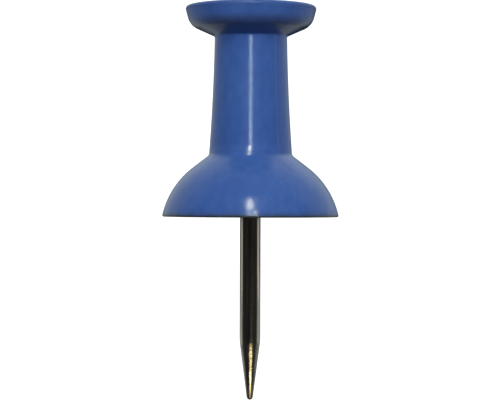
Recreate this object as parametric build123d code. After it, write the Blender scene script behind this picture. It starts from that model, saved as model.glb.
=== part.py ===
from build123d import *
from math import acos, atan2, cos, degrees, hypot, radians, sin, tan
import os

# Push pin: a waisted plastic handle moulded around a steel needle, in millimetres and degrees.
# The origin is on the needle's axis, in the plane where the skirt seats on a board.
# +Z runs up through the handle, and the needle's point hangs below the seat.

# Thumb disc
HANDLE_HEIGHT = 12.7  # seat to the disc's flat top
DISC_DIAMETER = 8.0  # across the upper edge, before it is rounded
DISC_EDGE_THICKNESS = 1.18  # flat top down to the lower edge, before it is rounded
DISC_EDGE_DRAFT = 15.5  # how far the edge leans in as it goes down
DISC_UNDERSIDE_SLOPE = 24.0  # how far the underside falls towards the grip
DISC_UPPER_ROUND = 0.2
DISC_LOWER_ROUND = 1.0

# Grip
GRIP_TOP_DIAMETER = 4.36
GRIP_FOOT_DIAMETER = 5.0
GRIP_HOLLOW = 0.05  # how far its side dips inside a straight taper
GRIP_TOP_FILLET = 0.15  # where it meets the disc
GRIP_FOOT_FILLET = 0.25  # where it meets the skirt

# Skirt
SKIRT_DIAMETER = 10.66  # across the lower edge, before it is rounded
SKIRT_HEIGHT = 3.72  # seat to the grip's foot
FLARE_SLOPE = 37.4  # how steeply the skirt falls away from the grip
FLARE_WIDTH = 0.97  # straight part of that fall, measured outwards
SKIRT_EDGE_ROUND = 0.1
SEAT_WIDTH = 1.0  # flat ring that meets the board
RECESS_DEPTH = 0.4  # hollow inside that ring
RECESS_WALL_SLOPE = 45.0

# Needle
NEEDLE_DIAMETER = 1.25
NEEDLE_REACH = 11.0  # seat to the tip
POINT_LENGTH = 3.55  # ground cone, with its rounded tip
TIP_RADIUS = 0.19
COVER_OVER_NEEDLE = 3.2  # plastic left between the needle's root and the disc's flat top
ROOT_CHAMFER = 0.2
RING_COUNT = 5  # rolled rings that lock the root in the plastic
RING_PITCH = 0.8
RING_DEPTH = 0.12

# A rounded corner takes up no more than this share of either wall beside it.
ROUND_SHARE = 0.45


def turned(face):
    """Revolve a flat outline, drawn as radius and height, about the needle's axis."""
    return revolve(Plane.XZ * face, Axis.Z)


def rounded(face, points, radii):
    """Round some of an outline's corners, each within the room that its two walls leave."""
    for corner, radius in radii.items():
        place = points.index(corner)
        before = Vector(points[place - 1]) - Vector(corner)
        after = Vector(points[place + 1]) - Vector(corner)
        room = ROUND_SHARE * min(before.length, after.length)
        largest = room * tan(radians(before.get_angle(after) / 2))
        face = fillet(face.vertices().sort_by_distance(corner)[0], min(radius, largest))
    return face


def make_needle():
    """Steel needle: rounded tip, ground cone, plain shank, ringed root."""
    radius = NEEDLE_DIAMETER / 2
    tip = -NEEDLE_REACH
    shoulder = (radius, tip + POINT_LENGTH)
    root_end = HANDLE_HEIGHT - COVER_OVER_NEEDLE

    # The cone is tangent to the rounded tip, and meets the shank at the shoulder.
    tip_centre = tip + TIP_RADIUS
    rise = shoulder[1] - tip_centre
    half_angle = acos(TIP_RADIUS / hypot(radius, rise)) - atan2(rise, radius)
    cone_start = (TIP_RADIUS * cos(half_angle), tip_centre - TIP_RADIUS * sin(half_angle))
    tip_arc = CenterArc((0, tip_centre), TIP_RADIUS, -90, 90 - degrees(half_angle))

    # The rings start where the needle goes into the plastic.
    rings = [(radius, RECESS_DEPTH)]
    for ring in range(RING_COUNT):
        foot = RECESS_DEPTH + ring * RING_PITCH
        rings.append((radius - RING_DEPTH, foot + RING_PITCH / 2))
        rings.append((radius, foot + RING_PITCH))

    sides = Polyline(
        cone_start,
        shoulder,
        *rings,
        (radius, root_end - ROOT_CHAMFER),
        (radius - ROOT_CHAMFER, root_end),
        (0, root_end),
        (0, tip),
    )
    return turned(make_face([tip_arc, *sides.edges()]))


def make_handle(needle):
    """Plastic handle: thumb disc, hollowed grip and domed skirt in one moulding."""
    disc_top = (0, HANDLE_HEIGHT)
    disc_edge = (DISC_DIAMETER / 2, HANDLE_HEIGHT)
    edge_lean = DISC_EDGE_THICKNESS * tan(radians(DISC_EDGE_DRAFT))
    disc_corner = (disc_edge[0] - edge_lean, HANDLE_HEIGHT - DISC_EDGE_THICKNESS)

    grip_top_radius = GRIP_TOP_DIAMETER / 2
    underside_fall = (disc_corner[0] - grip_top_radius) * tan(radians(DISC_UNDERSIDE_SLOPE))
    grip_top = (grip_top_radius, disc_corner[1] - underside_fall)
    grip_foot = (GRIP_FOOT_DIAMETER / 2, SKIRT_HEIGHT)

    flare = radians(FLARE_SLOPE)
    flare_end = (grip_foot[0] + FLARE_WIDTH, grip_foot[1] - FLARE_WIDTH * tan(flare))
    skirt_edge = (SKIRT_DIAMETER / 2, 0)
    recess_mouth = (skirt_edge[0] - SEAT_WIDTH, 0)
    recess_run = RECESS_DEPTH / tan(radians(RECESS_WALL_SLOPE))
    recess_edge = (recess_mouth[0] - recess_run, RECESS_DEPTH)
    recess_floor = (0, RECESS_DEPTH)

    disc = Polyline(disc_top, disc_edge, disc_corner, grip_top)
    grip = SagittaArc(grip_foot, grip_top, GRIP_HOLLOW)
    flare_line = Line(grip_foot, flare_end)
    dome = TangentArc(flare_end, skirt_edge, tangent=(cos(flare), -sin(flare)))
    base = Polyline(skirt_edge, recess_mouth, recess_edge, recess_floor, disc_top)
    outline = make_face([*disc.edges(), grip, flare_line, dome, *base.edges()])

    upper_points = [disc_top, disc_edge, disc_corner, grip_top, grip_foot]
    lower_points = [flare_end, skirt_edge, recess_mouth]
    radii = {
        disc_edge: DISC_UPPER_ROUND,
        disc_corner: DISC_LOWER_ROUND,
        grip_top: GRIP_TOP_FILLET,
        grip_foot: GRIP_FOOT_FILLET,
        skirt_edge: SKIRT_EDGE_ROUND,
    }
    # The plastic sets around the needle and fills its rings.
    return turned(rounded(outline, upper_points + lower_points, radii)) - needle


needle = make_needle()
handle = make_handle(needle)

os.makedirs("parts", exist_ok=True)
export_step(handle, "parts/plastic_handle.step")
export_step(needle, "parts/steel_needle.step")
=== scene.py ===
# %% [markdown]
# A push pin is two pieces. The handle is one moulding of blue plastic, with a thumb disc, a waisted
# grip and a domed skirt. The needle is a steel wire with a ground point, and the plastic sets
# around its ringed root. The measured model of both pieces comes in first, as a frame that is never
# moved. Everything below is built inside that frame, in metres: +Z runs up through the handle, the
# origin lies where the skirt meets the board, and the camera looks along +Y.

# %% Load the frame
from math import acos, atan, atan2, copysign, cos, hypot, pi, radians, sin, tan

import bmesh
import bpy
from mathutils import Matrix, Vector


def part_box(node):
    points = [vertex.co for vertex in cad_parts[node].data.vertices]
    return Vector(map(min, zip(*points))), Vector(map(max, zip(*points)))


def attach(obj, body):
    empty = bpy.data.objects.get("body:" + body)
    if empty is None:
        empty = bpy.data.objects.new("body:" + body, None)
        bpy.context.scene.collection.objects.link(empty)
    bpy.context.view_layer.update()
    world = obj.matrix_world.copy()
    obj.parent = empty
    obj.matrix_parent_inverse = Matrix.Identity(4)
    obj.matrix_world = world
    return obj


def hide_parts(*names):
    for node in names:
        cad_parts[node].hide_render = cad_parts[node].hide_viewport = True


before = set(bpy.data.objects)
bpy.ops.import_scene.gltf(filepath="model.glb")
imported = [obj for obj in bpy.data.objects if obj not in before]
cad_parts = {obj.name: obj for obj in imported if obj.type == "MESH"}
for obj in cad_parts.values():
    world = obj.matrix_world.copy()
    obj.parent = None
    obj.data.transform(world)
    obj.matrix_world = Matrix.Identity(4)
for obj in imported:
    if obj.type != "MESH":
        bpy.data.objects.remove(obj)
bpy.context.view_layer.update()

print("nodes in the frame:", sorted(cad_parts))

# %% [markdown]
# The frame already knows how tall the pin is, how wide its skirt is and how thick its needle is.
# Reading those sizes from it, and not typing them again, keeps the looks and the measured model
# alike.

# %% Main sizes from the frame
MM = 0.001

handle_low, handle_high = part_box("plastic_handle")
needle_low, needle_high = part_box("steel_needle")
seat = handle_low.z
top = handle_high.z
tip = needle_low.z
root_end = needle_high.z
needle_radius = needle_high.x
pin_length = top - tip
print(f"pin {pin_length / MM:.2f} mm long, skirt {2 * handle_high.x / MM:.2f} mm across")

# %% [markdown]
# Both pieces are turned shapes, so each can be half an outline that is spun about the needle's
# axis. The outline could be typed in as a long list of points, but then nobody could change a
# radius in it. Here a pen walks it instead: the pen is one vertex in the plane y = 0, straight runs
# extrude it, and arcs spin it about the arc's centre. A point is a vector of radius and height.

# %% A pen that draws outlines
ARC_STEP = radians(3)
LEAST_ARC_STEPS = 6


def start_outline(point):
    """Open a mesh with the pen's first vertex in it."""
    outline = bmesh.new()
    pen = outline.verts.new((point.x, 0, point.y))
    return outline, pen


def run_to(outline, pen, point, bow=0.0):
    """Drag the pen to a point, straight or along an arc that bows to the right of its way."""
    start = Vector((pen.co.x, pen.co.z))
    chord = point - start
    if bow == 0.0:
        made = bmesh.ops.extrude_vert_indiv(outline, verts=[pen])
        pen = made["verts"][0]
        bmesh.ops.translate(outline, vec=(chord.x, 0, chord.y), verts=[pen])
        return pen
    half_turn = 2 * atan(2 * bow / chord.length)
    to_centre = chord.length / 2 / tan(half_turn)
    centre = start + chord / 2 + chord.orthogonal().normalized() * to_centre
    made = bmesh.ops.spin(
        outline,
        geom=[pen],
        cent=(centre.x, 0, centre.y),
        axis=(0, -1, 0),
        angle=2 * half_turn,
        steps=max(LEAST_ARC_STEPS, round(abs(2 * half_turn) / ARC_STEP)),
    )
    return made["geom_last"][0]


pen_outline, pen = start_outline(Vector((1.0, 0.0)))
pen = run_to(pen_outline, pen, Vector((0.0, 1.0)), bow=1 - cos(radians(45)))
print("a quarter circle ends at", [round(value, 4) for value in pen.co])
pen_outline.free()

# %% [markdown]
# Moulded and ground corners are round. A round touches both sides of its corner, so it begins a
# little before the corner and ends as far beyond it. That distance is the radius over the tangent
# of half the corner's angle, so this helper only asks for the corner, the point after it and a
# radius.

# %% Rounded corners
def round_corner(outline, pen, corner, onward, radius, bow=0.0):
    """Draw up to a corner, round it, and stop where the straight run onward begins."""
    start = Vector((pen.co.x, pen.co.z))
    back = (start - corner).normalized()
    ahead = (onward - corner).normalized()
    half_corner = back.angle(ahead) / 2
    cut = radius / tan(half_corner)
    pen = run_to(outline, pen, corner + back * cut, bow)
    turns_left = ahead.cross(back)
    round_bow = copysign(radius * (1 - sin(half_corner)), turns_left)
    return run_to(outline, pen, corner + ahead * cut, round_bow)


corner_outline, pen = start_outline(Vector((0.0, 0.0)))
pen = round_corner(corner_outline, pen, Vector((1.0, 0.0)), Vector((1.0, 1.0)), radius=0.25)
print("a rounded corner ends at", [round(value, 4) for value in pen.co])
corner_outline.free()

# %% [markdown]
# The root of the needle is hidden in the handle. Rolled rings in it keep the plastic from letting
# go, and the plastic fills them, so the needle and the handle share this stretch of outline.

# %% The ringed root
RECESS_DEPTH = 0.4 * MM
RING_COUNT = 5
RING_PITCH = 0.8 * MM
RING_DEPTH = 0.12 * MM
ROOT_CHAMFER = 0.2 * MM

root_start = Vector((needle_radius, seat + RECESS_DEPTH))


def draw_root(outline, pen):
    """Draw the root upwards from where the needle enters the plastic, and close it on the axis."""
    for ring in range(RING_COUNT):
        foot = root_start.y + ring * RING_PITCH
        pen = run_to(outline, pen, Vector((needle_radius - RING_DEPTH, foot + RING_PITCH / 2)))
        pen = run_to(outline, pen, Vector((needle_radius, foot + RING_PITCH)))
    pen = run_to(outline, pen, Vector((needle_radius, root_end - ROOT_CHAMFER)))
    pen = run_to(outline, pen, Vector((needle_radius - ROOT_CHAMFER, root_end)))
    return run_to(outline, pen, Vector((0, root_end)))


print(f"root goes {(root_end - root_start.y) / MM:.1f} mm into the plastic")

# %% [markdown]
# A full spin of an outline makes the solid. Its first and last copies have to be merged, and so do
# the many copies of a point on the axis, or the mesh has an open seam and torn poles. Spin can
# leave faces looking inwards, so the normals are worked out afterwards.

# %% Spin an outline into a solid
TURN_STEPS = 192
MERGE_DISTANCE = 0.0001 * MM
SHARP_ANGLE = radians(14)


def spin_solid(outline):
    """Spin an outline once round the needle's axis and close it."""
    bmesh.ops.spin(
        outline,
        geom=outline.verts[:] + outline.edges[:],
        cent=(0, 0, 0),
        axis=(0, 0, 1),
        angle=2 * pi,
        steps=TURN_STEPS,
        use_merge=True,
    )
    bmesh.ops.remove_doubles(outline, verts=outline.verts, dist=MERGE_DISTANCE)
    bmesh.ops.recalc_face_normals(outline, faces=outline.faces)
    outline.normal_update()


def finish_piece(solid, name):
    """Turn a bmesh into an object with smooth faces and crisp corners."""
    open_edges = sum(not edge.is_manifold for edge in solid.edges)
    for face in solid.faces:
        face.smooth = True
    mesh = bpy.data.meshes.new(name)
    solid.to_mesh(mesh)
    solid.free()
    mesh.set_sharp_from_angle(angle=SHARP_ANGLE)
    piece = bpy.data.objects.new(name, mesh)
    bpy.context.scene.collection.objects.link(piece)
    weighted = piece.modifiers.new("even_shading", "WEIGHTED_NORMAL")
    weighted.mode = "FACE_AREA"
    weighted.weight = 100
    weighted.keep_sharp = True
    print(f"{name}: {len(mesh.polygons)} faces, {open_edges} open edges")
    return piece


print(f"a full turn takes {TURN_STEPS} steps of {360 / TURN_STEPS:.3f} degrees")

# %% [markdown]
# The thumb disc comes first. Its edge leans in as it goes down and rolls into an underside that
# falls towards the grip. The small dimple in the middle of the top is where the plastic was let
# into the mould.

# %% Thumb disc
DISC_RADIUS = 4.0 * MM
DISC_EDGE_THICKNESS = 1.18 * MM
DISC_EDGE_DRAFT = radians(15.5)
DISC_UNDERSIDE_SLOPE = radians(24)
DISC_UPPER_ROUND = 0.2 * MM
DISC_LOWER_ROUND = 1.0 * MM
GATE_RADIUS = 0.55 * MM
GATE_DEPTH = 0.06 * MM
GATE_ROUND = 0.05 * MM
GRIP_TOP_RADIUS = 2.18 * MM

gate_foot = Vector((GATE_RADIUS - GATE_DEPTH, top - GATE_DEPTH))
gate_rim = Vector((GATE_RADIUS, top))
disc_edge = Vector((DISC_RADIUS, top))
disc_corner = disc_edge - Vector((DISC_EDGE_THICKNESS * tan(DISC_EDGE_DRAFT), DISC_EDGE_THICKNESS))
underside_fall = (disc_corner.x - GRIP_TOP_RADIUS) * tan(DISC_UNDERSIDE_SLOPE)
grip_top = Vector((GRIP_TOP_RADIUS, disc_corner.y - underside_fall))

handle, pen = start_outline(Vector((0, gate_foot.y)))
pen = run_to(handle, pen, gate_foot)
pen = round_corner(handle, pen, gate_rim, disc_edge, GATE_ROUND)
pen = round_corner(handle, pen, disc_edge, disc_corner, DISC_UPPER_ROUND)
pen = round_corner(handle, pen, disc_corner, grip_top, DISC_LOWER_ROUND)
print(f"disc ends at radius {pen.co.x / MM:.2f} mm, height {pen.co.z / MM:.2f} mm")

# %% [markdown]
# The grip is a taper whose side dips a twentieth of a millimetre inside a straight line. The dip is
# a very flat arc. A tight fillet joins it to the disc above and to the skirt below.

# %% Grip
GRIP_FOOT_RADIUS = 2.5 * MM
GRIP_HOLLOW = 0.05 * MM
GRIP_TOP_FILLET = 0.15 * MM
GRIP_FOOT_FILLET = 0.3 * MM
SKIRT_HEIGHT = 3.72 * MM
FLARE_SLOPE = radians(37.4)
FLARE_WIDTH = 0.97 * MM

grip_foot = Vector((GRIP_FOOT_RADIUS, seat + SKIRT_HEIGHT))
flare_end = grip_foot + Vector((FLARE_WIDTH, -FLARE_WIDTH * tan(FLARE_SLOPE)))

pen = round_corner(handle, pen, grip_top, grip_foot, GRIP_TOP_FILLET)
pen = round_corner(handle, pen, grip_foot, flare_end, GRIP_FOOT_FILLET, bow=GRIP_HOLLOW)
print(f"grip is {2 * GRIP_TOP_RADIUS / MM:.2f} mm across at the top and "
      f"{2 * GRIP_FOOT_RADIUS / MM:.2f} mm at the foot")

# %% [markdown]
# The skirt falls away straight, then curves over in one arc that leaves the straight part without a
# kink and runs down to the board. The angle between the fall and the arc's chord gives the arc's
# bow. A flat ring seats on the board, and a shallow recess inside that ring keeps the needle's
# flash clear of it.

# %% Skirt
SKIRT_EDGE_RADIUS = 5.33 * MM
SEAT_WIDTH = 1.0 * MM
RECESS_ROUND = 0.08 * MM

skirt_edge = Vector((SKIRT_EDGE_RADIUS, seat))
recess_mouth = skirt_edge - Vector((SEAT_WIDTH, 0))
recess_edge = recess_mouth + Vector((-RECESS_DEPTH, RECESS_DEPTH))
dome_chord = skirt_edge - flare_end
dome_angle = (flare_end - grip_foot).angle(dome_chord)
dome_bow = dome_chord.length / 2 * tan(dome_angle / 2)

pen = run_to(handle, pen, flare_end)
pen = run_to(handle, pen, skirt_edge, bow=-dome_bow)
pen = round_corner(handle, pen, recess_mouth, recess_edge, RECESS_ROUND)
pen = round_corner(handle, pen, recess_edge, root_start, RECESS_ROUND)
pen = run_to(handle, pen, root_start)
pen = draw_root(handle, pen)
spin_solid(handle)
print(f"dome bows {dome_bow / MM:.2f} mm over a chord of {dome_chord.length / MM:.2f} mm")

# %% [markdown]
# The spin leaves a knife edge where the dome meets the seat. No mould can make that, and the light
# would not catch it, so the loop of edges there is bevelled. Bevel wants to know how far back from
# the corner the round begins, and that follows from its radius and the corner's angle.

# %% Round the skirt's edge
SKIRT_EDGE_ROUND = 0.1 * MM
SKIRT_EDGE_SEGMENTS = 12

dome_end_slope = FLARE_SLOPE + 2 * dome_angle
edge_cut = SKIRT_EDGE_ROUND / tan(dome_end_slope / 2)
edge_loop = [
    edge
    for edge in handle.edges
    if all(vert.co.xy.length > SKIRT_EDGE_RADIUS - MERGE_DISTANCE for vert in edge.verts)
    and all(abs(vert.co.z - seat) < MERGE_DISTANCE for vert in edge.verts)
]
bmesh.ops.bevel(
    handle,
    geom=edge_loop,
    offset=edge_cut,
    offset_type="OFFSET",
    affect="EDGES",
    segments=SKIRT_EDGE_SEGMENTS,
    profile=0.5,
    material=-1,
)
handle.normal_update()
skirt_reach = max(vert.co.x for vert in handle.verts)
print(f"{len(edge_loop)} edges rounded, skirt now reaches {skirt_reach / MM:.3f} mm")

# %% [markdown]
# The mould opens in two halves, and a hair of plastic creeps between them. On the real handle that
# is a fine raised line down both sides. The spin began in the plane where the halves meet, so the
# vertices in that plane are the line, and they only have to move out along their normals. On this
# pin the line shows faintly right of the middle of the grip, so the handle is then turned by a
# whole number of steps.

# %% Mould line
PARTING_HEIGHT = 0.008 * MM
PARTING_STEPS = 26

outer_wall = needle_radius + RING_DEPTH
parting_line = [
    vert
    for vert in handle.verts
    if abs(vert.co.y) < MERGE_DISTANCE
    and abs(vert.co.x) > outer_wall
    and seat + edge_cut < vert.co.z < top - DISC_UPPER_ROUND
]
for vert in parting_line:
    bmesh.ops.translate(handle, vec=vert.normal * PARTING_HEIGHT, verts=[vert])
parting_turn = Matrix.Rotation(-2 * pi * PARTING_STEPS / TURN_STEPS, 3, "Z")
bmesh.ops.rotate(handle, cent=(0, 0, 0), matrix=parting_turn, verts=handle.verts)
print(f"parting line runs through {len(parting_line)} vertices")

moulded_handle = finish_piece(handle, "moulded_handle")

# %% [markdown]
# The needle is drawn from its point upwards. The tip is a small round, the ground cone leaves it
# along a tangent, and a large soft round takes the cone into the plain shank, because a grinding
# wheel leaves no crisp corner there.

# %% Needle
POINT_LENGTH = 3.55 * MM
TIP_RADIUS = 0.19 * MM
SHOULDER_ROUND = 5.0 * MM

shoulder = Vector((needle_radius, tip + POINT_LENGTH))
tip_centre = Vector((0, tip + TIP_RADIUS))
rise = shoulder.y - tip_centre.y
cone_angle = acos(TIP_RADIUS / hypot(needle_radius, rise)) - atan2(rise, needle_radius)
cone_start = tip_centre + TIP_RADIUS * Vector((cos(cone_angle), -sin(cone_angle)))
tip_turn = radians(90) - cone_angle
tip_bow = (cone_start - Vector((0, tip))).length / 2 * tan(tip_turn / 4)

needle, pen = start_outline(Vector((0, tip)))
pen = run_to(needle, pen, cone_start, bow=tip_bow)
pen = round_corner(needle, pen, shoulder, root_start, SHOULDER_ROUND)
pen = run_to(needle, pen, root_start)
pen = draw_root(needle, pen)
spin_solid(needle)
ground_needle = finish_piece(needle, "ground_needle")

# %% [markdown]
# A finish is a tree of nodes. In the editor they are joined by hand, and a few small helpers do the
# same here. An output is a pair of node and socket, and wherever an output may go, a fixed value
# may go too. Map Range turns up again and again: it carries a value from one range to another,
# and stops at the ends.

# %% Helpers for nodes
def feed(tree, socket, source):
    """Join a socket to an output, or set it to a fixed value."""
    if isinstance(source, tuple) and isinstance(source[0], bpy.types.Node):
        node, output = source
        tree.links.new(node.outputs[output], socket)
    else:
        socket.default_value = source


def add_node(tree, kind, inputs=None, **settings):
    """Add a node, set its properties and feed its inputs, which go by name or number."""
    node = tree.nodes.new(kind)
    for name, value in settings.items():
        setattr(node, name, value)
    for name, source in (inputs or {}).items():
        feed(tree, node.inputs[name], source)
    return node


def add_math(tree, operation, *operands):
    """Add a maths node and hand back its output."""
    node = add_node(tree, "ShaderNodeMath", dict(enumerate(operands)), operation=operation)
    return node, "Value"


def map_range(tree, value, start, end, levels=(0.0, 1.0), soft=False):
    """Carry a value from one level at the start to another at the end, evenly or with soft ends."""
    low, high = levels
    node = add_node(
        tree,
        "ShaderNodeMapRange",
        {"Value": value, "From Min": start, "From Max": end, "To Min": low, "To Max": high},
        interpolation_type="SMOOTHSTEP" if soft else "LINEAR",
    )
    return node, "Result"


print("nodes are those of Blender", bpy.app.version_string)

# %% [markdown]
# Both finishes need two kinds of unevenness, so each kind is a node group: built once, and placed
# in a material with that material's own values. The first is soft patches, as in plastic that
# cooled unevenly or steel that was handled. Plain noise keeps near its middle value, so Map Range
# spreads the middle out.

# %% Soft patches
NOISE_ROUGHNESS = 0.55
NOISE_MIDDLE = (0.3, 0.7)


def new_group(name, inputs, output):
    """Start a shader node group with the given inputs, kinds included, and one value out."""
    group = bpy.data.node_groups.new(name, "ShaderNodeTree")
    for label, kind in inputs.items():
        group.interface.new_socket(label, in_out="INPUT", socket_type=kind)
    group.interface.new_socket(output, in_out="OUTPUT", socket_type="NodeSocketFloat")
    return group, group.nodes.new("NodeGroupInput"), group.nodes.new("NodeGroupOutput")


patches, group_in, group_out = new_group(
    "soft_patches",
    {"Vector": "NodeSocketVector", "Patches per metre": "NodeSocketFloat", "Detail": "NodeSocketFloat"},
    "Amount",
)
noise = add_node(
    patches,
    "ShaderNodeTexNoise",
    {
        "Vector": (group_in, "Vector"),
        "Scale": (group_in, "Patches per metre"),
        "Detail": (group_in, "Detail"),
        "Roughness": NOISE_ROUGHNESS,
    },
)
amount = map_range(patches, (noise, "Fac"), *NOISE_MIDDLE, soft=True)
feed(patches, group_out.inputs["Amount"], amount)
print("soft_patches has", len(patches.nodes), "nodes")

# %% [markdown]
# The second kind is thin marks that run one way, as from a mould polisher's stone or a drawing die.
# A thin mark is where a stretched noise crosses its own middle value. Stretching the coordinates
# sets which way the marks run and how long they are, and a second, larger noise breaks them up.

# %% Thin marks
NOISE_CENTRE = 0.5
MARK_STEEPNESS = 4.0
BREAK_SCALE = 0.17
BREAK_RANGE = (0.42, 0.6)

marks, group_in, group_out = new_group(
    "thin_marks",
    {"Vector": "NodeSocketVector", "Marks per metre": "NodeSocketVector", "Thinness": "NodeSocketFloat"},
    "Mask",
)
stretched = add_node(
    marks,
    "ShaderNodeVectorMath",
    {0: (group_in, "Vector"), 1: (group_in, "Marks per metre")},
    operation="MULTIPLY",
)
way = (stretched, "Vector")
fine = add_node(marks, "ShaderNodeTexNoise", {"Vector": way, "Scale": 1.0, "Detail": 2.0})
breaks = add_node(marks, "ShaderNodeTexNoise", {"Vector": way, "Scale": BREAK_SCALE, "Detail": 1.0})
centred = add_math(marks, "SUBTRACT", (fine, "Fac"), NOISE_CENTRE)
off_middle = add_math(marks, "ABSOLUTE", centred)
steepened = add_math(marks, "MULTIPLY", off_middle, MARK_STEEPNESS)
nearness = add_math(marks, "SUBTRACT", 1.0, steepened)
clamped = add_math(marks, "MAXIMUM", nearness, 0.0)
thin = add_math(marks, "POWER", clamped, (group_in, "Thinness"))
kept = map_range(marks, (breaks, "Fac"), *BREAK_RANGE)
feed(marks, group_out.inputs["Mask"], add_math(marks, "MULTIPLY", thin, kept))
print("thin_marks has", len(marks.nodes), "nodes")

# %% [markdown]
# Every finish starts alike: a material with one shader, and the place of each point on its piece.
# Object coordinates give that place in metres, so a pattern has a real size, and the height along
# the needle is their Z. The Mix node holds sockets for every kind of data, so its colour sockets go
# by number.

# %% Helpers for finishes
MIX_AMOUNT = 0
MIX_FIRST = 6
MIX_SECOND = 7
MIX_RESULT = 2


def new_finish(name):
    """Start a material and hand back its tree, its shader, and each point's place."""
    material = bpy.data.materials.new(name)
    material.use_nodes = True
    tree = material.node_tree
    place = (add_node(tree, "ShaderNodeTexCoord"), "Object")
    return material, tree, tree.nodes["Principled BSDF"], place


def read_axis(tree, place, axis):
    """Read one axis of coordinates."""
    return add_node(tree, "ShaderNodeSeparateXYZ", {"Vector": place}), axis


def place_group(tree, group, inputs):
    """Place a node group in a material and hand back its one output."""
    return add_node(tree, "ShaderNodeGroup", inputs, node_tree=group), 0


def move_place(tree, place, **moves):
    """Shift, turn or stretch coordinates."""
    return add_node(tree, "ShaderNodeMapping", {"Vector": place, **moves}), "Vector"


def mix_colours(tree, first, second, amount):
    """Go from one colour to another by an amount."""
    inputs = {MIX_FIRST: first, MIX_SECOND: second, MIX_AMOUNT: amount}
    return add_node(tree, "ShaderNodeMix", inputs, data_type="RGBA"), MIX_RESULT


print("two node groups wait for their materials:", patches.name, marks.name)

# %% [markdown]
# The handle is a satin to glossy polystyrene, coloured through. Its blue varies a little where the
# melt cooled at different rates, and a film of dust and fine scuffs mottles it at a much smaller
# scale, in upright patches. Two patch patterns share the mixing of two blues that are close to each
# other.

# %% Blue plastic
BLUE_DEEP = (0.043, 0.1065, 0.375, 1.0)
BLUE_LIGHT = (0.059, 0.1365, 0.435, 1.0)
PLASTIC_IOR = 1.55
UPRIGHT_STRETCH = (1.0, 1.0, 0.55)
PATTERN_SHARE = 0.5

blue_plastic, tree, shader, place = new_finish("blue_plastic_moulded")
shader.inputs["IOR"].default_value = PLASTIC_IOR
height = read_axis(tree, place, "Z")
upright = move_place(tree, place, Scale=UPRIGHT_STRETCH)
cooling = place_group(tree, patches, {"Vector": place, "Patches per metre": 260.0, "Detail": 3.0})
film = place_group(tree, patches, {"Vector": upright, "Patches per metre": 2200.0, "Detail": 3.0})
mottle = add_math(tree, "MULTIPLY", add_math(tree, "ADD", cooling, film), PATTERN_SHARE)
blue = mix_colours(tree, BLUE_DEEP, BLUE_LIGHT, mottle)
print("blue plastic starts from", len(tree.nodes), "nodes")

# %% [markdown]
# The raised mould line is real, and the paler blue along it is a painted highlight, where the line
# would catch the light. The Mapping node turns the coordinates back by as much as the handle was
# turned, and then the line is where y is close to nought. On the skirt a mask on height fades it
# out.

# %% Painted highlight on the mould line
PARTING_SHEEN_PAINT = (0.100, 0.150, 0.420, 1.0)
PARTING_WIDTH = 0.08 * MM
PARTING_SHEEN_SHARE = 0.5
SKIRT_FADE_TOP = 4.2 * MM
SKIRT_FADE_FOOT = 3.0 * MM

turned_back = move_place(tree, place, Rotation=(0.0, 0.0, 2 * pi * PARTING_STEPS / TURN_STEPS))
off_parting = add_math(tree, "ABSOLUTE", read_axis(tree, turned_back, "Y"))
on_parting = map_range(tree, off_parting, 0.0, PARTING_WIDTH, (PARTING_SHEEN_SHARE, 0.0))
on_skirt = map_range(tree, height, SKIRT_FADE_TOP, SKIRT_FADE_FOOT, soft=True)
off_skirt = add_math(tree, "SUBTRACT", 1.0, on_skirt)
parting = add_math(tree, "MULTIPLY", on_parting, off_skirt)
# The paler blue mixed in here is a painted highlight along the mould line.
with_parting_sheen = mix_colours(tree, blue, PARTING_SHEEN_PAINT, parting)
print(f"mould line is {2 * PARTING_WIDTH / MM:.2f} mm wide and ends at {SKIRT_FADE_FOOT / MM:.1f} mm")

# %% [markdown]
# The skirt's lower edge gets a dark line that fades upwards: painted shade, where the edge turns
# under and away from the light. The disc's upper edge gets a fainter dark line. A mask on height
# places each line, and a patch pattern is added to the height first, so that neither is as straight
# as a ruler.

# %% Painted shade at the skirt's edge, dark line at the disc's edge
# The dark colour is painted shade on the skirt's edge and a fainter dark line on the disc's edge.
EDGE_DARK_PAINT = (0.042, 0.052, 0.060, 1.0)
EDGE_UNEVENNESS = 0.05 * MM
SKIRT_SHADE_REACH = 0.55 * MM
SKIRT_SHADE_FADE = 3.2
SKIRT_SHADE_SHARE = 1.8
DISC_LINE_MIDDLE = 0.15 * MM
DISC_LINE_REACH = 0.20 * MM
DISC_LINE_SHARE = 0.2

band_wobble = place_group(tree, patches, {"Vector": place, "Patches per metre": 1400.0, "Detail": 3.0})
wobbled_height = add_math(tree, "MULTIPLY_ADD", band_wobble, EDGE_UNEVENNESS, height)


def band_at_height(middle, reach):
    """Add a mask that is full at one height and fades to nothing within a reach of it."""
    above = add_math(tree, "SUBTRACT", wobbled_height, middle)
    away = add_math(tree, "ABSOLUTE", above)
    return map_range(tree, away, 0.0, reach, (1.0, 0.0))


# Painted shade: the skirt's lower edge is darkened where it turns under.
skirt_shade_band = add_math(tree, "POWER", band_at_height(seat, SKIRT_SHADE_REACH), SKIRT_SHADE_FADE)
skirt_painted_shade = add_math(tree, "MULTIPLY", skirt_shade_band, SKIRT_SHADE_SHARE)
disc_edge_band = band_at_height(top - DISC_LINE_MIDDLE, DISC_LINE_REACH)
disc_edge_dark = add_math(tree, "MULTIPLY", disc_edge_band, DISC_LINE_SHARE)
edge_darkening = add_math(tree, "MAXIMUM", skirt_painted_shade, disc_edge_dark)
darkened_edges = mix_colours(tree, with_parting_sheen, EDGE_DARK_PAINT, edge_darkening)
print(f"dark line reaches {SKIRT_SHADE_REACH / MM:.2f} mm up the skirt")

# %% [markdown]
# The disc's lower edge and its underside get a wide brownish darker band: painted shade, where
# the edge turns down away from the light. It is one more band on height, only wider, and it is
# mixed over the other two.

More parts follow.
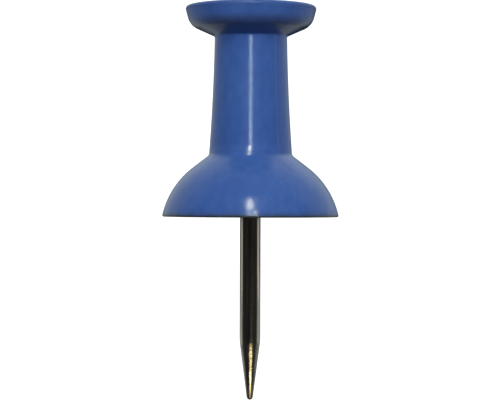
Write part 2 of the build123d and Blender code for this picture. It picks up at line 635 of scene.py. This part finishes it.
# %% Painted shade under the disc
UNDERSIDE_SHADE_PAINT = (0.075, 0.068, 0.060, 1.0)
UNDERSIDE_SHADE_MIDDLE = 1.25 * MM
UNDERSIDE_SHADE_REACH = 0.6 * MM
UNDERSIDE_SHADE_SHARE = 0.4

# Painted shade: a brownish darker band over the disc's lower edge and underside.
underside_shade = add_math(tree, "MULTIPLY", band_at_height(top - UNDERSIDE_SHADE_MIDDLE, UNDERSIDE_SHADE_REACH), UNDERSIDE_SHADE_SHARE)
feed(tree, shader.inputs["Base Color"], mix_colours(tree, darkened_edges, UNDERSIDE_SHADE_PAINT, underside_shade))
print("blue plastic has", len(tree.nodes), "nodes for its colour")

# %% [markdown]
# The gloss is satin and not the same everywhere. It is duller where the melt cooled late, along the
# fine marks that the polisher left in the mould, on the handled edge of the disc and on the skirt.
# Each of these adds its own share to the roughness of the plain surface.

# %% Roughness of the plastic
SATIN_ROUGHNESS = 0.17
COOLING_DULLS = 0.05
POLISHING_DULLS = 0.05
HANDLING_DULLS = 0.3
SKIRT_DULLS = 0.02
POLISHING_TURN = (radians(14), radians(8), radians(31))
POLISHING_MARKS = (9000.0, 9000.0, 650.0)


def add_shares(tree, start, shares):
    """Add to a starting value each output times its own share."""
    total = start
    for source, share in shares:
        total = add_math(tree, "MULTIPLY_ADD", source, share, total)
    return total


polishing_way = move_place(tree, place, Rotation=POLISHING_TURN)
polishing = place_group(
    tree,
    marks,
    {"Vector": polishing_way, "Marks per metre": POLISHING_MARKS, "Thinness": 5.0},
)
dulling = (
    (cooling, COOLING_DULLS),
    (polishing, POLISHING_DULLS),
    (disc_edge_band, HANDLING_DULLS),
    (on_skirt, SKIRT_DULLS),
)
feed(tree, shader.inputs["Roughness"], add_shares(tree, SATIN_ROUGHNESS, dulling))
print(f"{len(dulling)} things dull the plastic")

# %% [markdown]
# The surface isn't quite even either, and a Bump node bends the light as if each height were real.
# A slow waviness, from shrinking, bends the reflections, and it is deeper in the skirt, where the
# plastic is thick. A quicker one makes the light streak on the grip wander. The polishing marks are
# shallow grooves, and a still finer grain softens everything. Heights are in thousandths of a
# millimetre.

# %% Waviness and grain of the plastic
GRIP_SINK = 6.0
SKIRT_SINK = 18.0
WAVE_HEIGHT = 2.6
GRAIN_HEIGHT = 0.3
MARK_DEPTH = 0.14

shrinking = place_group(tree, patches, {"Vector": upright, "Patches per metre": 600.0, "Detail": 0.5})
waviness = place_group(tree, patches, {"Vector": upright, "Patches per metre": 1500.0, "Detail": 3.0})
grain = place_group(tree, patches, {"Vector": place, "Patches per metre": 9000.0, "Detail": 3.0})
sink = add_math(tree, "MULTIPLY_ADD", on_skirt, SKIRT_SINK, GRIP_SINK)
shrunk = add_math(tree, "MULTIPLY", shrinking, sink)
unevenness = ((waviness, WAVE_HEIGHT), (grain, GRAIN_HEIGHT), (polishing, -MARK_DEPTH))
surface = add_shares(tree, shrunk, unevenness)
print(f"waviness is up to {GRIP_SINK + SKIRT_SINK:.0f} thousandths of a millimetre deep")

# %% [markdown]
# In front the plastic also swells a little in two places, and each bends the light into a spot of
# its own. At the skirt's edge it is a round blister, a smooth rise around a point. At the grip's
# foot it is a low ridge, where the tool was blended by hand. Two masks on height shape the ridge,
# and a rise that counts only level distance keeps it in front. The Bump node's Distance says what
# one unit of height is.

# %% Two swells in front
MICRON = 0.001 * MM
LEVEL = Vector((1.0, 1.0, 0.0))
ALL_ROUND = Vector((1.0, 1.0, 1.0))
FOOT_SWELL = Vector((-0.5, -2.5, 3.75)) * MM
FOOT_SWELL_ACROSS = 3.0 * MM
FOOT_SWELL_ABOVE = 0.62 * MM
FOOT_SWELL_BELOW = 0.28 * MM
FOOT_SWELL_HEIGHT = 125.0
EDGE_SWELL = Vector((0.6, -5.3, 0.05)) * MM
EDGE_SWELL_REACH = 0.6 * MM
EDGE_SWELL_HEIGHT = 35.0


def add_swell(centre, ways, reach, lift):
    """Add a smooth rise around a point of the plastic, all round it or only level with it."""
    from_centre = move_place(tree, place, Location=-centre * ways, Scale=ways)
    away = add_node(tree, "ShaderNodeVectorMath", {0: from_centre}, operation="LENGTH")
    return map_range(tree, (away, "Value"), 0.0, reach, (lift, 0.0), soft=True)


edge_swell = add_swell(EDGE_SWELL, ALL_ROUND, EDGE_SWELL_REACH, EDGE_SWELL_HEIGHT)
foot_middle = add_swell(FOOT_SWELL, LEVEL, FOOT_SWELL_ACROSS, FOOT_SWELL_HEIGHT)
foot_rise = map_range(tree, height, FOOT_SWELL.z + FOOT_SWELL_ABOVE, FOOT_SWELL.z, soft=True)
foot_fall = map_range(tree, height, FOOT_SWELL.z - FOOT_SWELL_BELOW, FOOT_SWELL.z, soft=True)
foot_ridge = add_math(tree, "MULTIPLY", foot_rise, foot_fall)
surface = add_math(tree, "MULTIPLY_ADD", foot_ridge, foot_middle, surface)
surface = add_math(tree, "ADD", surface, edge_swell)
bump = add_node(tree, "ShaderNodeBump", {"Height": surface, "Distance": MICRON})
feed(tree, shader.inputs["Normal"], (bump, "Normal"))
moulded_handle.data.materials.append(blue_plastic)
print("blue plastic has", len(tree.nodes), "nodes")

# %% [markdown]
# The needle is drawn steel wire with a faint warm cast. Handling leaves long streaks of tarnish on
# it, and the tip is worn dark. Patches that are stretched along the needle make the streaks, a mask
# on height finds the tip, and the stronger of the two goes from a light steel to a dark one.

# %% Needle steel
STEEL_LIGHT = (0.68, 0.62, 0.52, 1.0)
STEEL_DARK = (0.30, 0.285, 0.285, 1.0)
TARNISH_PLACE = Vector((4.11, 0.0, 2.055)) * MM
TARNISH_STRETCH = Vector((1.0, 1.0, 0.08))
WORN_LENGTH = 1.1 * MM

needle_steel, tree, shader, place = new_finish("needle_steel_drawn")
shader.inputs["Metallic"].default_value = 1.0
height = read_axis(tree, place, "Z")
streaks = move_place(tree, place, Location=TARNISH_PLACE, Scale=TARNISH_STRETCH)
tarnish = place_group(tree, patches, {"Vector": streaks, "Patches per metre": 3200.0, "Detail": 3.0})
on_tip = map_range(tree, height, tip + WORN_LENGTH, tip)
darkened = add_math(tree, "MAXIMUM", tarnish, on_tip)
feed(tree, shader.inputs["Base Color"], mix_colours(tree, STEEL_LIGHT, STEEL_DARK, darkened))
print("needle steel has", len(tree.nodes), "nodes for its colour")

# %% [markdown]
# Drawing leaves the wire bright. The grinding wheel leaves the point a little duller, and tarnish
# and wear dull the steel too. The mask for the point starts at the shoulder and is full a little
# below it, because the wheel bites in slowly.

# %% Polish of the needle
DRAWN_ROUGHNESS = 0.12
TARNISH_DULLS = 0.05
GRINDING_DULLS = 0.05
WEAR_DULLS = 0.3
SHOULDER_BLEND = 0.6 * MM

on_point = map_range(tree, height, shoulder.y, shoulder.y - SHOULDER_BLEND)
dulling = ((tarnish, TARNISH_DULLS), (on_point, GRINDING_DULLS), (on_tip, WEAR_DULLS))
feed(tree, shader.inputs["Roughness"], add_shares(tree, DRAWN_ROUGHNESS, dulling))
print(f"{len(dulling)} things dull the needle")

# %% [markdown]
# Drawing also leaves fine lines along the shank. On the point the wheel leaves coarser, slanted
# ones, and it chatters where it first bites, just below the shoulder. The lines are thin marks that
# run the way the tool ran, and the chatter is soft patches that grow shallow towards the tip.

# %% Drawn and ground lines
DRAWN_HEIGHT = 0.10
DRAWN_MARKS = (26000.0, 26000.0, 300.0)
GROUND_HEIGHT = 4.0
GROUND_MARKS = (9000.0, 3000.0, 1600.0)
GROUND_TURN = (0.0, radians(-38), 0.0)
CHATTER_LENGTH = 1.3 * MM
CHATTER_HEIGHTS = (1.0, 8.0)

drawing = place_group(tree, marks, {"Vector": place, "Marks per metre": DRAWN_MARKS, "Thinness": 2.0})
slanted = move_place(tree, place, Rotation=GROUND_TURN)
grinding = place_group(tree, marks, {"Vector": slanted, "Marks per metre": GROUND_MARKS, "Thinness": 1.5})
chatter = place_group(tree, patches, {"Vector": slanted, "Patches per metre": 5200.0, "Detail": 2.0})
chatter_height = map_range(tree, height, shoulder.y - CHATTER_LENGTH, shoulder.y, CHATTER_HEIGHTS)
ground = add_math(tree, "MULTIPLY", chatter, chatter_height)
ground = add_math(tree, "MULTIPLY_ADD", grinding, GROUND_HEIGHT, ground)
ground = add_math(tree, "MULTIPLY", ground, on_point)
lines = add_math(tree, "MULTIPLY_ADD", drawing, DRAWN_HEIGHT, ground)
bump = add_node(tree, "ShaderNodeBump", {"Height": lines, "Distance": MICRON})
feed(tree, shader.inputs["Normal"], (bump, "Normal"))
ground_needle.data.materials.append(needle_steel)
print("needle steel has", len(tree.nodes), "nodes")

# %% [markdown]
# Each new piece now stands for its measured node, whose mesh is hidden, and rides on the one body
# that the pin has.

# %% Put the pieces in the frame
for piece, node, finish in (
    (moulded_handle, "plastic_handle", "blue_plastic"),
    (ground_needle, "steel_needle", "needle_steel"),
):
    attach(piece, "root")
    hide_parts(node)
    print(piece.name, "stands for", node)

# %% [markdown]
# The camera is level, so the skirt's seat shows as a straight line and the top of the disc is
# hidden. A long lens from 11 cm keeps the upright edges upright. The lens follows from how much of
# the picture the pin fills.

# %% Camera
IMAGE_WIDTH = 500
PIN_LENGTH_PIXELS = 393.6
SENSOR_WIDTH = 36.0
CAMERA_DISTANCE = 0.110
NEAREST_SEEN = 1.0 * MM
EYE_HEIGHT = 1.02 * MM
EYE_SIDE = -0.024 * MM
CAMERA_ROLL = radians(-0.2)

scene = bpy.context.scene
camera_data = bpy.data.cameras.new("camera")
camera_data.sensor_width = SENSOR_WIDTH
camera_data.lens = SENSOR_WIDTH * CAMERA_DISTANCE / pin_length * PIN_LENGTH_PIXELS / IMAGE_WIDTH
camera_data.clip_start = NEAREST_SEEN
camera = bpy.data.objects.new("camera", camera_data)
camera.location = (EYE_SIDE, -CAMERA_DISTANCE, EYE_HEIGHT)
camera.rotation_euler = (radians(90), CAMERA_ROLL, 0)
scene.collection.objects.link(camera)
scene.camera = camera
print(f"lens {camera_data.lens:.1f} mm")

# %% [markdown]
# The floor is a wide disc at the needle's tip. The pin should be lit by the studio and mirror the
# studio, and not the floor, so the floor is hidden from reflected and scattered light and throws no
# shadow.

# %% Floor
FLOOR_RADIUS = 0.6
FLOOR_SEGMENTS = 96

floor_shape = bmesh.new()
bmesh.ops.create_circle(floor_shape, cap_ends=True, segments=FLOOR_SEGMENTS, radius=FLOOR_RADIUS)
bmesh.ops.translate(floor_shape, vec=(0, 0, tip), verts=floor_shape.verts)
floor_mesh = bpy.data.meshes.new("floor")
floor_shape.to_mesh(floor_mesh)
floor_shape.free()
floor = bpy.data.objects.new("floor", floor_mesh)
scene.collection.objects.link(floor)
floor.visible_glossy = False
floor.visible_diffuse = False
floor.visible_shadow = False
print("floor lies at", round(tip / MM, 2), "mm")

# %% [markdown]
# The floor's paint glows by itself, so it stays pale however little light falls on it. Its Alpha
# fades with the distance from the pin, so that it runs into the background with no edge.

# %% Paint of the floor
FLOOR_GREY = (0.4, 0.4, 0.4, 1.0)
FLOOR_ROUGHNESS = 0.9
FLOOR_GLOW = (0.93, 0.93, 0.93, 1.0)
FLOOR_GLOW_STRENGTH = 1.1
FADE_START = 0.15
FADE_END = 0.5

pale_floor, tree, shader, place = new_finish("pale_floor")
shader.inputs["Base Color"].default_value = FLOOR_GREY
shader.inputs["Roughness"].default_value = FLOOR_ROUGHNESS
shader.inputs["Specular IOR Level"].default_value = 0.0
shader.inputs["Emission Color"].default_value = FLOOR_GLOW
shader.inputs["Emission Strength"].default_value = FLOOR_GLOW_STRENGTH
away = add_node(tree, "ShaderNodeVectorMath", {0: place}, operation="LENGTH")
fade = map_range(tree, (away, "Value"), FADE_START, FADE_END, (1.0, 0.0), soft=True)
feed(tree, shader.inputs["Alpha"], fade)
floor_mesh.materials.append(pale_floor)
print(f"floor has faded out {FADE_END} m from the pin")

# %% [markdown]
# The studio is dark in front and pale at the sides and behind, and the change is slow. The plastic
# needs that: its sides mirror the pale walls, so they lighten softly towards the edges. The
# needle's middle mirrors the front, which is darkest straight ahead. Straight behind the pin the
# studio is dark again, because the very edge of a glossy shape mirrors what is behind it, and this
# draws it with a darker line. Just below eye level the walls have a dim strip. Little but the
# upright needle mirrors it, and it draws the shank's thin outline. One colour ramp follows how far
# back a ray points, another follows its height.

# %% Walls of the studio
FRONT_DARK = (0.0120, 0.0115, 0.0125, 1.0)
WALL_STRENGTH = 1.27
WALL_TINT = Vector((0.90, 1.0, 0.95))
NO_TINT = Vector((1.0, 1.0, 1.0))
WALL_BY_DEPTH = {-0.97: 0.0, -0.88: 0.03, -0.24: 0.03, 0.84: 0.80, 0.97: 0.45, 0.99: 0.0}
WALL_BELOW_EYE = {-0.8: 0.18, -0.4: 0.54, -0.06: 0.44, -0.04: 0.15, -0.01: 0.15}
WALL_ABOVE_EYE = {0.02: 0.45, 0.2: 0.70, 0.45: 0.80, 0.8: 1.0}
ROOM_TURN = radians(4)

world = bpy.data.worlds.new("studio")
scene.world = world
world.use_nodes = True
tree = world.node_tree
background = tree.nodes["Background"]
background.inputs["Strength"].default_value = WALL_STRENGTH
direction = (add_node(tree, "ShaderNodeTexCoord"), "Generated")
room = move_place(tree, direction, Rotation=(0.0, 0.0, ROOM_TURN))
upwards = read_axis(tree, room, "Z")
backwards = read_axis(tree, room, "Y")
sideways = read_axis(tree, room, "X")


def ramp_along(reading, levels, tint):
    """Add a colour ramp that gives each reading on an axis, from -1 to 1, its own level."""
    ramp = add_node(tree, "ShaderNodeValToRGB", {"Fac": map_range(tree, reading, -1.0, 1.0)})
    stops = ramp.color_ramp.elements
    while len(stops) < len(levels):
        stops.new(0.5)
    for stop, (at, level) in zip(stops, levels.items()):
        stop.position = (at + 1) / 2
        stop.color = (*(tint * level), 1.0)
    return ramp, "Color"


walls = ramp_along(upwards, WALL_BELOW_EYE | WALL_ABOVE_EYE, WALL_TINT)
behind = ramp_along(backwards, WALL_BY_DEPTH, NO_TINT)
studio = mix_colours(tree, FRONT_DARK, walls, behind)
print("walls are made of", len(tree.nodes), "nodes")

# %% [markdown]
# The underside of the disc mirrors what is low behind the pin, and a dark card there draws its edge
# with a darker line too. The card is a mask on height times a mask on how far to the side a ray
# points. The same masks meet in front as well, but the front is about as dark as the card already.

# %% Low card behind the pin
LOW_CARD_MIDDLE = -0.17
LOW_CARD_HEIGHT = (0.15, 0.23)
LOW_CARD_WIDTH = (0.18, 0.34)


def near_zero(reading, inner, outer):
    """Add a mask that is full up to one distance from nought and empty from another on."""
    return map_range(tree, add_math(tree, "ABSOLUTE", reading), inner, outer, (1.0, 0.0))


above_card = add_math(tree, "SUBTRACT", upwards, LOW_CARD_MIDDLE)
card_rows = near_zero(above_card, *LOW_CARD_HEIGHT)
card_columns = near_zero(sideways, *LOW_CARD_WIDTH)
low_card = add_math(tree, "MULTIPLY", card_rows, card_columns)
carded = mix_colours(tree, studio, FRONT_DARK, low_card)
print("with the card there are", len(tree.nodes), "nodes")

# %% [markdown]
# The pin is shown on plain white, so the camera shouldn't see these walls. The Light Path node
# tells the rays that come straight from the camera from all the others, and only those see white.

# %% White background
PLAIN_WHITE = (1.0, 1.0, 1.0, 1.0)

from_camera = (add_node(tree, "ShaderNodeLightPath"), "Is Camera Ray")
seen = mix_colours(tree, carded, PLAIN_WHITE, from_camera)
feed(tree, background.inputs["Color"], seen)
print("surroundings have", len(tree.nodes), "nodes")

# %% [markdown]
# The lights are flat plain shapes that face the pin. One helper places them: it takes a direction
# from the front in degrees, a distance, a size, a power and a tint. A small bright box gives a
# small sharp reflection, and a large dim one gives a soft glow.

# %% A helper for softboxes
def point_away(azimuth, elevation):
    """Turn a direction in degrees from the front into a vector of length one."""
    level = cos(radians(elevation))
    return Vector((
        sin(radians(azimuth)) * level,
        -cos(radians(azimuth)) * level,
        sin(radians(elevation)),
    ))


def add_softbox(name, azimuth, elevation, reach, size, power, tint):
    """Add an area light that faces the pin's middle from a direction, in degrees from the front."""
    light = bpy.data.lights.new(name, "AREA")
    light.shape = "RECTANGLE"
    light.size, light.size_y = size
    light.energy = power
    light.color = tint
    softbox = bpy.data.objects.new(name, light)
    away = point_away(azimuth, elevation)
    softbox.location = away * reach
    softbox.rotation_euler = away.to_track_quat("Z", "Y").to_euler()
    softbox.visible_camera = False
    scene.collection.objects.link(softbox)
    print(f"{name}: {power} W from {azimuth}, {elevation} degrees")
    return softbox


print("straight in front is", [round(value, 4) for value in point_away(0, 0)])

# %% [markdown]
# Four lights are there for the handle's gloss. A tall narrow softbox in front draws the streak down
# the grip, and two broad dim cards round it give the streak a soft halo. A small bright oval above
# them makes the spot on the skirt.

# %% Lights for the handle's gloss
COOL = (0.84, 1.0, 1.0)
PALE_GREEN = (0.95, 1.0, 0.84)
GLOSS_REACH = 0.25

handle_lights = {}
for name, azimuth, elevation, size, power, tint in (
    ("streak_box", 0, 15, (0.029, 0.13), 0.095, COOL),
    ("glow_card", 0, 26, (0.1, 0.2), 0.006, PALE_GREEN),
    ("halo_card", 0, 26, (0.28, 0.2), 0.032, PALE_GREEN),
    ("spot_box", -1, 39.8, (0.021, 0.066), 0.1146, PALE_GREEN),
):
    handle_lights[name] = add_softbox(name, azimuth, elevation, GLOSS_REACH, size, power, tint)
handle_lights["halo_card"].visible_diffuse = False
handle_lights["spot_box"].data.shape = "ELLIPSE"

# %% [markdown]
# Three fills light the blue itself, two from the front and one from behind. They would show in the
# gloss as extra streaks, so reflected rays may not see them. Cycles still lets a little of a light
# into the gloss while multiple importance sampling is on for it, so that is switched off.

# %% Fills
WHITE = (1.0, 1.0, 1.0)
FILL_REACH = 0.5
FILL_SIZE = (0.08, 0.08)

for name, azimuth, elevation, power in (
    ("left_fill", -38, 20, 0.77),
    ("right_fill", 38, 20, 0.86),
    ("back_fill", 180, 6, 0.55),
):
    fill = add_softbox(name, azimuth, elevation, FILL_REACH, FILL_SIZE, power, WHITE)
    fill.visible_glossy = False
    fill.data.cycles.use_multiple_importance_sampling = False

# %% [markdown]
# The needle is a mirror and shows only what stands round it. A warm card low in front makes the
# golden streak on the point, a larger brown one gives that streak a dim border, and a faint grey
# one lights the lower shank. A pale card on each side, a little behind the pin, draws a bright band
# along the shank.

# %% Cards for the needle
WARM = (1.0, 0.88, 0.47)
BROWN = (1.0, 0.45, 0.12)
CREAM = (1.0, 0.98, 0.87)

needle_lights = {}
for name, azimuth, elevation, reach, size, power, tint in (
    ("point_card", 12, -28.5, 0.2, (0.10, 0.05), 0.068, WARM),
    ("ember_card", 12, -27, 0.2, (0.30, 0.08), 0.0016, BROWN),
    ("dim_card", 13, -12, 0.2, (0.09, 0.042), 0.0005, WHITE),
    ("left_card", -107, -1, 0.25, (0.12, 0.1), 0.013, CREAM),
    ("right_card", 103, -1, 0.25, (0.14, 0.1), 0.021, CREAM),
):
    needle_lights[name] = add_softbox(name, azimuth, elevation, reach, size, power, tint)

# %% [markdown]
# A photographer would keep each card's light off the other piece with small black flags. Blender
# has light linking for that: a light that is given a collection lights only what is in the
# collection.

# %% Which light falls on which piece
for piece, softboxes in ((moulded_handle, handle_lights), (ground_needle, needle_lights)):
    lit = bpy.data.collections.new(f"lit_{piece.name}")
    lit.objects.link(piece)
    for softbox in softboxes.values():
        softbox.light_linking.receiver_collection = lit
    print(f"{len(softboxes)} lights fall on {piece.name} alone")

# %% [markdown]
# The picture is shown as it is lit, with no film curve.

# %% Finish
scene.view_settings.view_transform = "Standard"
scene.view_settings.look = "None"
